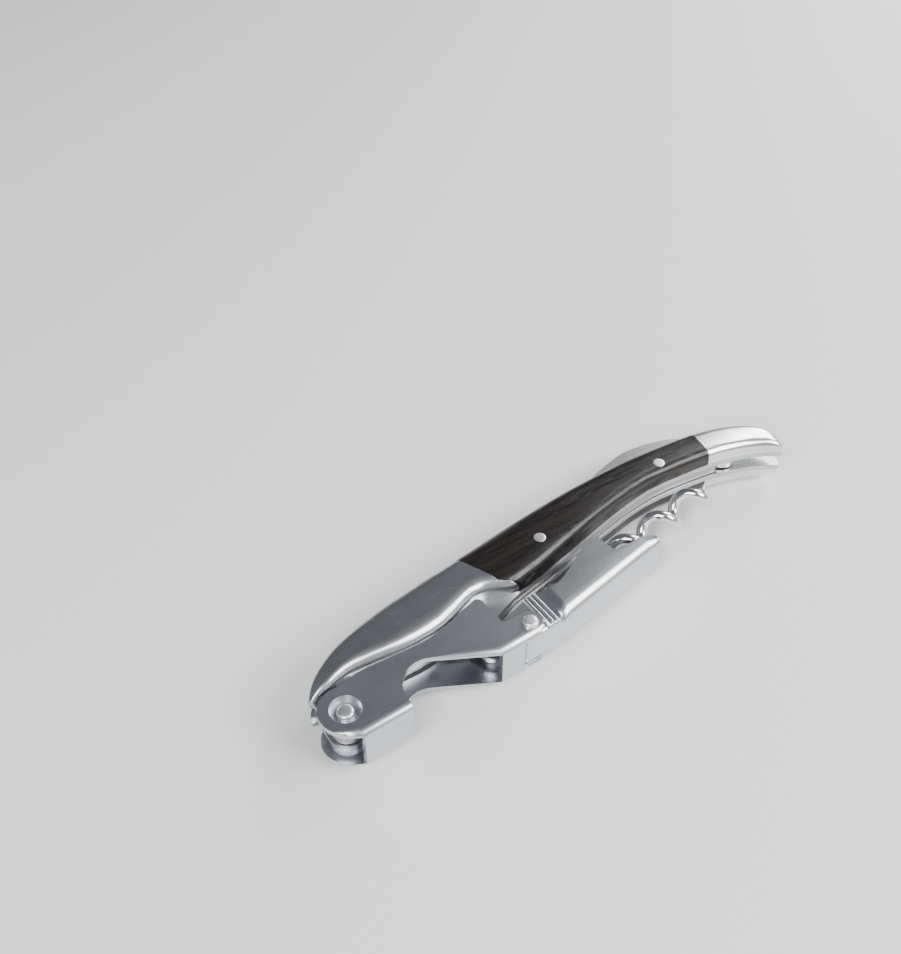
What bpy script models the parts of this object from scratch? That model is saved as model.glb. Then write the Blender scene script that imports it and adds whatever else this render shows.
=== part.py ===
"""Two-stage waiter's corkscrew with a curved wood handle, folded shut and lying on its side.

The tool frame starts at the nose of the handle on its middle plane: +X runs to the tail,
+Y to the back edge where the foil knife sits, and +Z is across the thickness.
Every length below is in millimetres, and MM turns it into metres when a mesh is made.
"""
import math

import bmesh
import bpy

MM = 0.001
GAP = 0.3

# Layers across the thickness, each measured from the middle plane.
FRAME_SLOT = 1.6
LINER_OUTSIDE = 2.8
COVER_INSIDE = LINER_OUTSIDE + GAP
COVER_OUTSIDE = 7.8
CORE_HALF = FRAME_SLOT - GAP

# The pivots, as places on the middle plane.
LEVER_PIVOT = (4.8, -6.9)
STAGE_HINGE = (49.5, -10.6)
WORM_PIVOT = (42.5, -6.8)
KNIFE_PIVOT = (126.0, 8.8)

# The handle's loft, nose to tail: belly point, back point and height over the cover's inside.
HANDLE_STATIONS = (
    ((0.0, -0.5), (0.0, 0.4), 1.0),
    ((2.4, -0.5), (1.8, 2.7), 2.8),
    ((5.5, -0.3), (5.0, 5.1), 4.0),
    ((9.5, 0.4), (9.5, 7.4), 4.6),
    ((14.0, 0.3), (14.0, 9.2), 4.7),
    ((20.0, -0.5), (20.0, 10.8), 4.7),
    ((27.0, -1.0), (27.0, 12.1), 4.7),
    ((33.5, -0.5), (33.5, 12.8), 4.7),
    ((39.0, 1.0), (39.0, 13.3), 4.7),
    ((43.8, 2.4), (43.8, 13.6), 4.7),
    ((47.5, 2.2), (47.5, 14.0), 4.7),
    ((52.7, -0.1), (51.5, 14.5), 4.7),
    ((57.5, 0.1), (57.0, 15.1), 4.7),
    ((65.0, 1.5), (65.0, 15.9), 4.7),
    ((76.0, 3.8), (76.0, 16.7), 4.7),
    ((88.0, 6.2), (88.0, 17.1), 4.4),
    ((100.0, 7.7), (100.0, 16.9), 4.1),
    ((110.0, 7.0), (110.0, 16.1), 3.9),
    ((119.0, 5.9), (119.0, 15.1), 3.8),
    ((126.0, 4.1), (125.5, 13.8), 3.7),
    ((131.3, 2.0), (131.9, 11.2), 3.5),
    ((134.6, 0.1), (136.4, 7.7), 3.2),
    ((136.4, -1.0), (138.2, 3.9), 2.4),
    ((137.2, -1.2), (138.4, 1.2), 1.2),
)
STATION_STEPS = 2
SECTION_POINTS = 15
SECTION_POWER = 3.2
FLAT_LIFT = 1.04

# Where the wood meets the bolsters, seen from the side.
FRONT_JOINT = ((44.6, 16.0), (50.4, 2.6), (57.4, -2.0))
TAIL_JOINT = ((120.0, 16.5), (118.2, 4.0), (117.0, -4.0))

# Pins through the handle.
SCALE_PINS = {"scale_pin_front": (65.7, 7.1, 7.7), "scale_pin_rear": (105.6, 10.7, 6.95)}
SCALE_PIN_RADIUS = 1.45
BOLSTER_PINS = {"bolster_pin_nose": (17.0, 5.0), "bolster_pin_heel": (37.0, 7.0)}
HIDDEN_PIN_RADIUS = 1.2
HIDDEN_PIN_HALF = 5.0

# First stage of the lever, a pressed channel that straddles the nose of the frame.
LEVER_HALF = 6.0
LEVER_SHEET = 1.3
LEVER_END_RADIUS = 5.9
HEEL_FLOOR = -14.4
TOE_FLOOR = -13.7
OPENER_CENTRE = (23.3, -11.6)
OPENER_RADIUS = 6.4
LEVER_BEND = 2.0
BEND_STEPS = 5
DISH_RIM = 3.4
DISH_FLOOR_RADIUS = 2.3
RIVET_RADIUS = 1.3

# Second stage: stations along the channel as x, half width, web, top edge and bend radius.
NECK_HALF = 4.4
WING_HALF = 5.8
STAGE_SHEET = 1.2
NECK_WEB = -13.3
PLEAT_HEIGHT = 0.4
PLEAT_WIDTH = 1.2
PLEATS = 3
PLEATS_START = 52.9
WING_WEB_SLOPE = 0.161
WING_WEB_START = (56.6, -13.6)
HINGE_PIN_RADIUS = 1.2

# The worm, measured along its own axis from its pivot.
WORM_ANGLE = math.radians(6.5)
WORM_EYE_RADIUS = 3.0
WORM_EYE_HALF = 1.18
WORM_PIN_RADIUS = 1.15
WIRE_RADIUS = 1.3
HELIX_RADIUS = 2.7
HELIX_PITCH = 11.5
HELIX_START = 13.5
HELIX_RAMP = 5.0
WORM_LENGTH = 74.5
WORM_TAPER = 7.5
WORM_PHASE = math.radians(-126.0)
POINTS_PER_TURN = 15

# The foil knife.
TANG_RADIUS = 3.6
BLADE_HALF = 1.1
BLADE_SPINE = ((124.0, 14.8), (121.8, 17.6), (118.7, 19.8), (115.0, 21.2), (110.0, 22.5),
               (104.5, 22.9), (99.4, 22.0), (94.5, 20.9), (88.5, 18.9), (84.5, 17.2), (81.0, 15.9))
SERRATION_DEPTH = 0.45
SERRATION_COUNT = 11
BLADE_EDGE_HEEL = (114.0, 13.6)
BLADE_EDGE_TIP = (86.0, 13.9)

# The box of the folded tool puts the origin under its middle.
BOX_MIN = (LEVER_PIVOT[0] - LEVER_END_RADIUS, HEEL_FLOOR)
BOX_MAX = (138.5, 22.9)

MATERIALS = {
    "satin_steel": ((0.62, 0.63, 0.65), 0.34, 1.0),
    "lever_steel": ((0.52, 0.54, 0.57), 0.38, 1.0),
    "bright_steel": ((0.80, 0.80, 0.80), 0.18, 1.0),
    "blade_steel": ((0.74, 0.75, 0.77), 0.24, 1.0),
    "dark_wood": ((0.045, 0.034, 0.028), 0.42, 0.0),
}


# ---------------------------------------------------------------- scene and helpers

def clear_scene():
    """Remove every object of the scene."""
    for item in list(bpy.data.objects):
        bpy.data.objects.remove(item, do_unlink=True)


def make_collection(name):
    """Add a collection under the scene."""
    group = bpy.data.collections.new(name)
    bpy.context.scene.collection.children.link(group)
    return group


def make_material(name):
    """Principled material with the finish's colour, roughness and metallic value."""
    colour, roughness, metallic = MATERIALS[name]
    material = bpy.data.materials.get(name) or bpy.data.materials.new(name)
    material.use_nodes = True
    shader = material.node_tree.nodes["Principled BSDF"]
    shader.inputs["Base Color"].default_value = (*colour, 1.0)
    shader.inputs["Roughness"].default_value = roughness
    shader.inputs["Metallic"].default_value = metallic
    material.diffuse_color = (*colour, 1.0)
    return material


def smooth_line(points, steps):
    """Catmull-Rom curve through the points, as a list with `steps` spans between each pair."""
    ends = [points[0], *points, points[-1]]
    line = []
    for before, start, stop, after in zip(ends, ends[1:], ends[2:], ends[3:]):
        for step in range(steps):
            t = step / steps
            line.append(tuple(
                0.5 * (2 * b + (c - a) * t + (2 * a - 5 * b + 4 * c - d) * t * t
                       + (3 * b - a - 3 * c + d) * t ** 3)
                for a, b, c, d in zip(before, start, stop, after)))
    line.append(tuple(points[-1]))
    return line


def arc(centre, radius, start, stop, steps):
    """Points on a circle from one angle to another, in degrees."""
    turn = [math.radians(start + (stop - start) * step / steps) for step in range(steps + 1)]
    return [(centre[0] + radius * math.cos(a), centre[1] + radius * math.sin(a)) for a in turn]


def ring(centre, radius, sides=20):
    """A full circle as a closed outline."""
    return arc(centre, radius, 0.0, 360.0 * (sides - 1) / sides, sides - 1)


def flat_curve(name, loops, low, high):
    """A 2D curve filled on both faces, extruded from height low to height high."""
    shape = bpy.data.curves.new(name, "CURVE")
    shape.dimensions = "2D"
    shape.fill_mode = "BOTH"
    shape.extrude = 0.5 * (high - low) * MM
    for loop in loops:
        spline = shape.splines.new("POLY")
        spline.points.add(len(loop) - 1)
        for point, (x, y) in zip(spline.points, loop):
            point.co = (x * MM, y * MM, 0.0, 1.0)
        spline.use_cyclic_u = True
    item = bpy.data.objects.new(name, shape)
    item.location.z = 0.5 * (high + low) * MM
    return item


def tidy_mesh(mesh, flat_angle):
    """Weld the mesh's seams, drop slivers and join faces that lie in one plane."""
    work = bmesh.new()
    work.from_mesh(mesh)
    bmesh.ops.remove_doubles(work, verts=work.verts, dist=0.00001)
    bmesh.ops.dissolve_degenerate(work, edges=work.edges, dist=0.00001)
    bmesh.ops.dissolve_limit(work, angle_limit=math.radians(flat_angle), verts=work.verts,
                             edges=work.edges, use_dissolve_boundaries=False)
    bmesh.ops.recalc_face_normals(work, faces=work.faces)
    work.to_mesh(mesh)
    work.free()


def curve_to_mesh(item, group):
    """Turn a curve into a mesh object whose caps are welded to its sides and are single faces."""
    bpy.context.scene.collection.objects.link(item)
    bpy.context.view_layer.update()
    seen = item.evaluated_get(bpy.context.evaluated_depsgraph_get())
    mesh = bpy.data.meshes.new_from_object(seen)
    mesh.transform(item.matrix_world)
    name = item.name
    bpy.data.objects.remove(item, do_unlink=True)
    tidy_mesh(mesh, 0.5)
    mesh.name = name
    solid = bpy.data.objects.new(name, mesh)
    group.objects.link(solid)
    return solid


def plate(name, loops, low, high, group):
    """A flat plate with the given outline and holes, between two heights."""
    return curve_to_mesh(flat_curve(name, loops, low, high), group)


def turned(name, profile, centre, group, sides=20):
    """A turned solid about a line across the thickness, from (radius, height) pairs, top first."""
    mesh = bpy.data.meshes.new(name)
    work = bmesh.new()
    points = [work.verts.new((radius * MM, 0.0, height * MM)) for radius, height in profile]
    for first, second in zip(points, points[1:]):
        work.edges.new((first, second))
    work.to_mesh(mesh)
    work.free()
    item = bpy.data.objects.new(name, mesh)
    item.location = (centre[0] * MM, centre[1] * MM, 0.0)
    group.objects.link(item)
    screw = item.modifiers.new("turn", "SCREW")
    screw.steps = sides
    screw.render_steps = sides
    screw.use_merge_vertices = True
    screw.merge_threshold = 0.00001
    screw.use_smooth_shade = True
    return item


def drum(radius, top, bottom):
    """Profile of a plain cylinder for turned()."""
    return [(0.0, top), (radius, top), (radius, bottom), (0.0, bottom)]


def add_boolean(item, cutter, operation="DIFFERENCE"):
    """Combine an object with a cutter that stays in the scene as a wire guide."""
    step = item.modifiers.new(cutter.name, "BOOLEAN")
    step.operation = operation
    step.solver = "EXACT"
    step.object = cutter
    cutter.hide_render = True
    cutter.display_type = "WIRE"


def smooth_shading(item, angle=35.0):
    """Shade the round faces smooth and keep the edges between flats sharp."""
    item.data.shade_smooth()
    item.data.set_sharp_from_angle(angle=math.radians(angle))


def hang(item, material, joint):
    """Give the piece its material and hang it on its joint's empty without moving it."""
    if item.type == "MESH":
        item.data.materials.clear()
        item.data.materials.append(make_material(material))
    item.location -= joint.location
    item.parent = joint


def add_joint(name, place, parent):
    """An empty on a joint's axis, or on the tool frame's own origin."""
    joint = bpy.data.objects.new(name, None)
    joint.location = [value * MM for value in place]
    joint.empty_display_size = 0.01
    joint.parent = parent
    bpy.context.scene.collection.objects.link(joint)
    return joint


def mirrored(item, name, group):
    """A copy of the piece on the other side of the middle plane."""
    mesh = item.data.copy()
    work = bmesh.new()
    work.from_mesh(mesh)
    for vertex in work.verts:
        vertex.co.z = -vertex.co.z
    bmesh.ops.reverse_faces(work, faces=work.faces)
    work.to_mesh(mesh)
    work.free()
    mesh.name = name
    copy = bpy.data.objects.new(name, mesh)
    group.objects.link(copy)
    return copy


# ---------------------------------------------------------------- handle

def handle_rungs():
    """The loft's rungs as (belly, back, height), with smooth curves through the stations."""
    values = [(*belly, *back, height) for belly, back, height in HANDLE_STATIONS]
    crown = COVER_OUTSIDE - COVER_INSIDE
    return [((v[0], v[1]), (v[2], v[3]), min(v[4], crown))
            for v in smooth_line(values, STATION_STEPS)]


def place_on_rung(vertex, rung, turn):
    """Move a vertex to its place on the crowned section that spans one rung of the loft."""
    belly, back, height = rung
    across = -math.copysign(abs(math.cos(turn)) ** (2 / SECTION_POWER), math.cos(turn))
    lift = min(1.0, FLAT_LIFT * abs(math.sin(turn)) ** (2 / SECTION_POWER))
    for axis in (0, 1):
        middle = 0.5 * (belly[axis] + back[axis])
        reach = 0.5 * (back[axis] - belly[axis])
        vertex.co[axis] = (middle + across * reach) * MM
    vertex.co.z = (COVER_INSIDE + height * lift) * MM


def cover_half(name, group):
    """The upper cover from nose to tail: a crowned sheet over the rungs, closed by a flat floor."""
    rungs = handle_rungs()
    work = bmesh.new()
    bmesh.ops.create_grid(work, x_segments=len(rungs) - 1, y_segments=SECTION_POINTS - 1, size=0.5)
    ends = ([], [])
    for vertex in work.verts:
        station = round((vertex.co.x + 0.5) * (len(rungs) - 1))
        share = (vertex.co.y + 0.5) * math.pi
        if station in (0, len(rungs) - 1):
            ends[station > 0].append(vertex)
        place_on_rung(vertex, rungs[station], share)
    for end in ends:
        low = min(end, key=lambda vertex: (vertex.co.z, vertex.co.y))
        high = min(end, key=lambda vertex: (vertex.co.z, -vertex.co.y))
        work.edges.new((low, high))
        loop = [edge for edge in work.edges if set(edge.verts) <= set(end)]
        bmesh.ops.edgeloop_fill(work, edges=loop)
    border = [edge for edge in work.edges if edge.is_boundary]
    bmesh.ops.edgeloop_fill(work, edges=border)
    bmesh.ops.recalc_face_normals(work, faces=work.faces)
    mesh = bpy.data.meshes.new(name)
    work.to_mesh(mesh)
    work.free()
    item = bpy.data.objects.new(name, mesh)
    group.objects.link(item)
    return item


def zone_cutter(name, line, far_side, group):
    """A block that reaches from a joint line to well past one end of the handle."""
    outline = [*line, (far_side, line[-1][1]), (far_side, line[0][1])]
    return plate(name, [outline], 0.0, 12.0, group)


def shifted(line, distance):
    return [(x + distance, y) for x, y in line]


def hidden_pin_holes(group):
    """Blind holes in the covers for the pins that only reach part of the way in."""
    places = {**BOLSTER_PINS, "knife_pivot": KNIFE_PIVOT}
    depth = HIDDEN_PIN_HALF + GAP
    return {name: turned(f"hole_{name}", drum(HIDDEN_PIN_RADIUS + GAP, depth, 0.0), place, group)
            for name, place in places.items()}


def build_covers(parts, cutters, frame):
    """Front bolster, wood scale and tail bolster of the upper side, and their mirror images."""
    half_gap = 0.5 * GAP
    front = zone_cutter("front_zone", shifted(FRONT_JOINT, -half_gap), -6.0, cutters)
    front_clear = zone_cutter("front_clearance", shifted(FRONT_JOINT, half_gap), -6.0, cutters)
    tail = zone_cutter("tail_zone", shifted(TAIL_JOINT, half_gap), 144.0, cutters)
    tail_clear = zone_cutter("tail_clearance", shifted(TAIL_JOINT, -half_gap), 144.0, cutters)
    blind = hidden_pin_holes(cutters)
    through = [turned(f"hole_{name}", drum(SCALE_PIN_RADIUS + GAP, 9.0, 0.0), (x, y), cutters)
               for name, (x, y, _) in SCALE_PINS.items()]
    bolster_holes = [blind[name] for name in BOLSTER_PINS]
    recipes = {
        "front_bolster": ("satin_steel", [(front, "INTERSECT")], bolster_holes),
        "wood_scale": ("dark_wood", [(front_clear, "DIFFERENCE"), (tail_clear, "DIFFERENCE")],
                       through),
        "tail_bolster": ("satin_steel", [(tail, "INTERSECT")], [blind["knife_pivot"]]),
    }
    helpers = [front, front_clear, tail, tail_clear, *blind.values(), *through]
    for helper in helpers:
        helper.parent = frame
    for name, (material, zones, holes) in recipes.items():
        upper = cover_half(f"{name}_upper", parts)
        smooth_shading(upper)
        for cutter, operation in zones:
            add_boolean(upper, cutter, operation)
        for cutter in holes:
            add_boolean(upper, cutter)
        hang(upper, material, frame)
        bpy.context.view_layer.update()
        seen = upper.evaluated_get(bpy.context.evaluated_depsgraph_get())
        upper.modifiers.clear()
        upper.data = bpy.data.meshes.new_from_object(seen)
        tidy_mesh(upper.data, 0.1)
        hang(mirrored(upper, f"{name}_lower", parts), material, frame)


def edge_line(side):
    """The belly (0) or back (1) edge of the handle from nose to tail."""
    return [rung[side] for rung in handle_rungs()]


def liner_outline():
    """The handle's side view with the nose tongue for the lever and the spur for the worm."""
    belly = edge_line(0)
    back = edge_line(1)
    tongue = [(1.0, -0.2), *arc(LEVER_PIVOT, 4.3, 178.0, 362.0, 12), (11.6, -0.6)]
    spur = [(37.6, -0.6), *arc(WORM_PIVOT, 3.4, 182.0, 350.0, 10), (46.2, -2.9), (51.9, -1.1)]
    before = [point for point in belly if 12.5 < point[0] < 36.5]
    after = [point for point in belly if point[0] > 57.0]
    return [*tongue, *before, *spur, *after, *reversed(back)]


def pin_holes(names):
    """Outlines of the pin holes through the frame's flat pieces."""
    holes = {
        "lever": ring(LEVER_PIVOT, RIVET_RADIUS + GAP),
        "worm": ring(WORM_PIVOT, WORM_PIN_RADIUS + GAP),
        "knife": ring(KNIFE_PIVOT, HIDDEN_PIN_RADIUS + GAP),
    }
    for name, (x, y, _) in SCALE_PINS.items():
        holes[name] = ring((x, y), SCALE_PIN_RADIUS + GAP)
    for name, place in BOLSTER_PINS.items():
        holes[name] = ring(place, HIDDEN_PIN_RADIUS + GAP)
    return [holes[name] for name in names]


def build_frame_plates(parts, frame):
    """Two liners with the nose spacer and the back spring between them."""
    everything = ["lever", "worm", "knife", *SCALE_PINS, *BOLSTER_PINS]
    outline = [liner_outline(), *pin_holes(everything)]
    upper = plate("liner_upper", outline, FRAME_SLOT, LINER_OUTSIDE, parts)
    hang(upper, "satin_steel", frame)
    hang(mirrored(upper, "liner_lower", parts), "satin_steel", frame)
    nose = [(1.8, 0.4), *arc(LEVER_PIVOT, 3.6, 178.0, 362.0, 12), (11.8, 0.2), (20.0, 0.0),
            (29.5, -0.4), (30.5, 11.8), (24.0, 10.8), (16.0, 9.0), (9.0, 6.4), (4.0, 3.4)]
    spacer = plate("nose_spacer", [nose, *pin_holes(["lever", "bolster_pin_nose"])],
                   -CORE_HALF, CORE_HALF, parts)
    hang(spacer, "satin_steel", frame)
    below = ((31.4, 0.4), (36.0, -1.6), (42.5, -3.2), (47.5, -2.2), (54.0, 0.4), (64.0, 2.0),
             (79.0, 5.0), (92.0, 7.4), (103.0, 8.2), (112.0, 7.5), (121.6, 6.0))
    above = ((121.6, 9.0), (116.0, 10.6), (106.0, 13.0), (98.0, 12.5), (88.0, 10.6), (76.0, 9.8),
             (64.0, 10.2), (52.0, 10.0), (42.0, 10.4), (31.9, 9.6))
    spring_loop = [*smooth_line(below, 2), *smooth_line(above, 2)]
    names = [*SCALE_PINS, "bolster_pin_heel"]
    spring = plate("back_spring", [spring_loop, *pin_holes(names)], -CORE_HALF, CORE_HALF, parts)
    hang(spring, "satin_steel", frame)


def build_pins(parts, frame):
    """Pins that hold the handle together, the two pivot pins and the front rivet of the lever."""
    for name, (x, y, half) in SCALE_PINS.items():
        pin = turned(name, drum(SCALE_PIN_RADIUS, half, -half), (x, y), parts)
        hang(pin, "bright_steel", frame)
    hidden = {**BOLSTER_PINS, "knife_pivot_pin": KNIFE_PIVOT}
    for name, place in hidden.items():
        profile = drum(HIDDEN_PIN_RADIUS, HIDDEN_PIN_HALF, -HIDDEN_PIN_HALF)
        hang(turned(name, profile, place, parts), "bright_steel", frame)
    hang(turned("worm_pivot_pin", headed(WORM_PIN_RADIUS, 2.0, COVER_INSIDE, 0.8), WORM_PIVOT, parts),
         "bright_steel", frame)
    rivet = headed(RIVET_RADIUS, 1.9, COVER_INSIDE + LEVER_SHEET + GAP, 0.9)
    hang(turned("lever_pivot_rivet", rivet, LEVER_PIVOT, parts), "bright_steel", frame)


def headed(shaft, head, seat, height):
    """Profile of a rivet: a shaft with a low domed head from each seat outwards."""
    upper = [(0.0, seat + height), (0.6 * head, seat + 0.9 * height), (head, seat + 0.3 * height),
             (head, seat), (shaft, seat)]
    return upper + [(radius, -level) for radius, level in reversed(upper)]


# ---------------------------------------------------------------- lever, first stage

def first_stage_outline():
    """Side view of the pressed channel: round end, heel, bottle-opener arch, toe, lobe and tooth."""
    heel = [(2.4, -13.0), (5.0, HEEL_FLOOR), (16.7, HEEL_FLOOR)]
    slope = [(39.9, TOE_FLOOR)]
    opener = arc(OPENER_CENTRE, OPENER_RADIUS, 188.0, 61.0, 12)
    lobe = arc(STAGE_HINGE, 3.1, -90.0, 80.0, 7)
    step = [(46.2, -7.4), (45.0, -7.1), (44.6, -6.6), (44.6, 0.4)]
    tooth = [(44.2, 1.2), (43.5, 1.7), (42.8, 1.6)]
    top = smooth_line(((38.8, 0.5), (35.0, -0.6), (28.5, -1.5), (22.0, -1.2), (15.0, -0.5),
                       (11.0, -0.4)), 2)
    end = arc(LEVER_PIVOT, LEVER_END_RADIUS, 78.0, 215.0, 12)
    return [*end, *heel, *opener, *slope, *lobe, *step, *tooth, *top]


def pressed_block(name, outline, collection):
    """A block with the channel's outline whose long bends are rounded like folded sheet."""
    turns = [0.5 * math.pi * step / BEND_STEPS for step in range(BEND_STEPS + 1)]
    rounding = [(LEVER_HALF - LEVER_BEND * (1 - math.cos(turn)), LEVER_BEND * (1 - math.sin(turn)))
                for turn in turns]
    work = bmesh.new()
    rings = []
    for z, inset in rounding + [(-z, inset) for z, inset in reversed(rounding)]:
        level = []
        for x, y in outline:
            if x > 39.8:
                y = max(y, TOE_FLOOR + inset)
            elif 2.3 < x < 18.0:
                slant = -13.0 + (HEEL_FLOOR + 13.0) * (x - 2.4) / 2.6
                y = max(y, max(HEEL_FLOOR, slant) + inset)
            level.append(work.verts.new((x * MM, y * MM, z * MM)))
        rings.append(level)
    for lower, upper in zip(rings, rings[1:]):
        for index in range(len(outline)):
            after = (index + 1) % len(outline)
            work.faces.new((lower[index], lower[after], upper[after], upper[index]))
    work.faces.new(rings[0])
    work.faces.new(rings[-1])
    bmesh.ops.recalc_face_normals(work, faces=work.faces)
    bmesh.ops.triangulate(work, faces=work.faces)
    mesh = bpy.data.meshes.new(name)
    work.to_mesh(mesh)
    work.free()
    item = bpy.data.objects.new(name, mesh)
    collection.objects.link(item)
    return item


def build_first_stage(parts, cutters, frame, lever):
    """The first stage: a block with the channel's outline, hollowed to a sheet and dished."""
    stage = pressed_block("lever_first_stage", first_stage_outline(), parts)
    inside = LEVER_HALF - LEVER_SHEET
    heel_top = HEEL_FLOOR + LEVER_SHEET
    toe_top = TOE_FLOOR + LEVER_SHEET
    hollow = [(-4.0, -18.0), (4.8, -18.0), (4.8, heel_top), (18.0, heel_top), (18.0, -18.0),
              (39.9, -18.0), (39.9, toe_top), (46.0, toe_top), (46.0, -18.0), (56.0, -18.0),
              (56.0, 6.0), (-4.0, 6.0)]
    dish_top = COVER_INSIDE + LEVER_SHEET
    boss = [(0.0, 5.2), (4.4, 5.2), (DISH_RIM, COVER_INSIDE), (0.0, COVER_INSIDE)]
    dish = [(0.0, 7.0), (DISH_RIM + 0.7, 7.0), (DISH_RIM, LEVER_HALF - 0.1),
            (DISH_FLOOR_RADIUS, dish_top), (0.0, dish_top)]
    steps = [
        (plate("channel_hollow", [hollow], -inside, inside, cutters), "DIFFERENCE"),
        (turned("dish_boss_upper", boss, LEVER_PIVOT, cutters, 28), "UNION"),
        (turned("dish_boss_lower", flipped(boss), LEVER_PIVOT, cutters, 28), "UNION"),
        (turned("dish_upper", dish, LEVER_PIVOT, cutters, 28), "DIFFERENCE"),
        (turned("dish_lower", flipped(dish), LEVER_PIVOT, cutters, 28), "DIFFERENCE"),
        (turned("pivot_bore", drum(RIVET_RADIUS + GAP, 9.0, -9.0), LEVER_PIVOT, cutters),
         "DIFFERENCE"),
        (turned("hinge_bore", drum(HINGE_PIN_RADIUS + GAP, 9.0, -9.0), STAGE_HINGE, cutters),
         "DIFFERENCE"),
    ]
    for cutter, operation in steps:
        cutter.parent = frame
        add_boolean(stage, cutter, operation)
    hang(stage, "lever_steel", lever)
    rivet = headed(HINGE_PIN_RADIUS, 1.75, LEVER_HALF + GAP, 0.8)
    hang(turned("lever_hinge_rivet", rivet, STAGE_HINGE, parts), "bright_steel", lever)


def flipped(profile):
    """The same profile on the other side of the middle plane, still listed top first."""
    return [(radius, -level) for radius, level in reversed(profile)]


# ---------------------------------------------------------------- lever, second stage

def second_stage_stations():
    """Stations of the channel as (x, half width, web, top edge, bend radius)."""
    stations = [(46.3, NECK_HALF, NECK_WEB, -5.4, 1.4), (49.5, NECK_HALF, NECK_WEB, -4.7, 1.4),
                (PLEATS_START - 0.3, NECK_HALF, NECK_WEB, -3.9, 1.4)]
    for index in range(PLEATS):
        start = PLEATS_START + index * PLEAT_WIDTH
        for offset, height in ((0.25, 1.0), (0.65, 1.0), (0.95, 0.0)):
            x = start + offset * PLEAT_WIDTH
            stations.append((x, NECK_HALF + height * PLEAT_HEIGHT, NECK_WEB, -3.6, 1.4))
    tops = ((57.2, -4.2), (58.0, -4.7), (59.5, -5.0), (61.5, -4.9), (64.0, -4.2), (67.5, -2.5),
            (71.0, -0.6), (73.5, 0.5), (75.5, 1.0), (77.2, 1.0), (78.0, 0.3), (78.5, -4.5),
            (82.0, -4.9), (86.0, -5.0), (87.8, -5.4), (88.9, -6.0), (89.4, -6.7))
    for x, top in tops:
        half = WING_HALF if x > 58.0 else (5.0 if x < 57.5 else 5.6)
        web = WING_WEB_START[1] + WING_WEB_SLOPE * (x - WING_WEB_START[0])
        bend = min(3.5, 0.9 * (top - web))
        stations.append((x, half, web, top, bend))
    return stations


def channel_section(half, web, top, bend):
    """Cross-section of the channel as (y, z), from one top edge round the web to the other."""
    upper = [(top, half), (0.5 * (top + web + bend), half)]
    for step in range(5):
        turn = 0.5 * math.pi * step / 4
        upper.append((web + bend - bend * math.sin(turn), half - bend + bend * math.cos(turn)))
    return upper + [(y, -z) for y, z in reversed(upper)]


def build_second_stage(parts, cutters, frame, hinge):
    """The second stage: an open sheet lofted through its stations, given its thickness, and cut."""
    sections = [(x, channel_section(half, web, top, bend))
                for x, half, web, top, bend in second_stage_stations()]
    columns = len(sections[0][1])
    work = bmesh.new()
    bmesh.ops.create_grid(work, x_segments=len(sections) - 1, y_segments=columns - 1, size=0.5)
    for vertex in work.verts:
        x, section = sections[round((vertex.co.x + 0.5) * (len(sections) - 1))]
        y, z = section[round((vertex.co.y + 0.5) * (columns - 1))]
        vertex.co = (x * MM, y * MM, z * MM)
    bmesh.ops.reverse_faces(work, faces=work.faces)
    mesh = bpy.data.meshes.new("lever_second_stage")
    work.to_mesh(mesh)
    work.free()
    stage = bpy.data.objects.new("lever_second_stage", mesh)
    parts.objects.link(stage)
    sheet = stage.modifiers.new("sheet", "SOLIDIFY")
    sheet.thickness = STAGE_SHEET * MM
    sheet.offset = -1.0
    sheet.use_even_offset = True
    ear_end = [(40.0, -10.6), *arc(STAGE_HINGE, 3.1, 180.0, 290.0, 8), (50.56, -20.0), (40.0, -20.0)]
    shoulder = [(40.0, -5.9), (46.9, -5.9), (47.6, -5.1), (47.6, 0.0), (40.0, 0.0)]
    steps = [plate("ear_end", [ear_end], -9.0, 9.0, cutters),
             plate("ear_shoulder", [shoulder], -9.0, 9.0, cutters),
             turned("ear_bore", drum(HINGE_PIN_RADIUS + GAP, 9.0, -9.0), STAGE_HINGE, cutters)]
    for cutter in steps:
        cutter.parent = frame
        add_boolean(stage, cutter)
    hang(stage, "lever_steel", hinge)


# ---------------------------------------------------------------- worm and foil knife

def worm_points():
    """Centre line of the wire from the eye to the tip, with the wire's radius at each point."""
    points = [(2.2, 0.0, 0.0, WIRE_RADIUS), (7.0, 0.0, 0.0, WIRE_RADIUS)]
    step = HELIX_PITCH / POINTS_PER_TURN
    count = int((WORM_LENGTH - HELIX_START) / step)
    for index in range(count + 1):
        along = HELIX_START + index * step
        ramp = min(1.0, index * step / HELIX_RAMP)
        out = HELIX_RADIUS * ramp * ramp * (3 - 2 * ramp)
        turn = 2 * math.pi * (along - HELIX_START) / HELIX_PITCH + WORM_PHASE
        left = WORM_LENGTH - along
        wire = WIRE_RADIUS * min(1.0, 0.12 + 0.88 * left / WORM_TAPER)
        points.append((along, out * math.cos(turn), out * math.sin(turn), wire))
    return points


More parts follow.
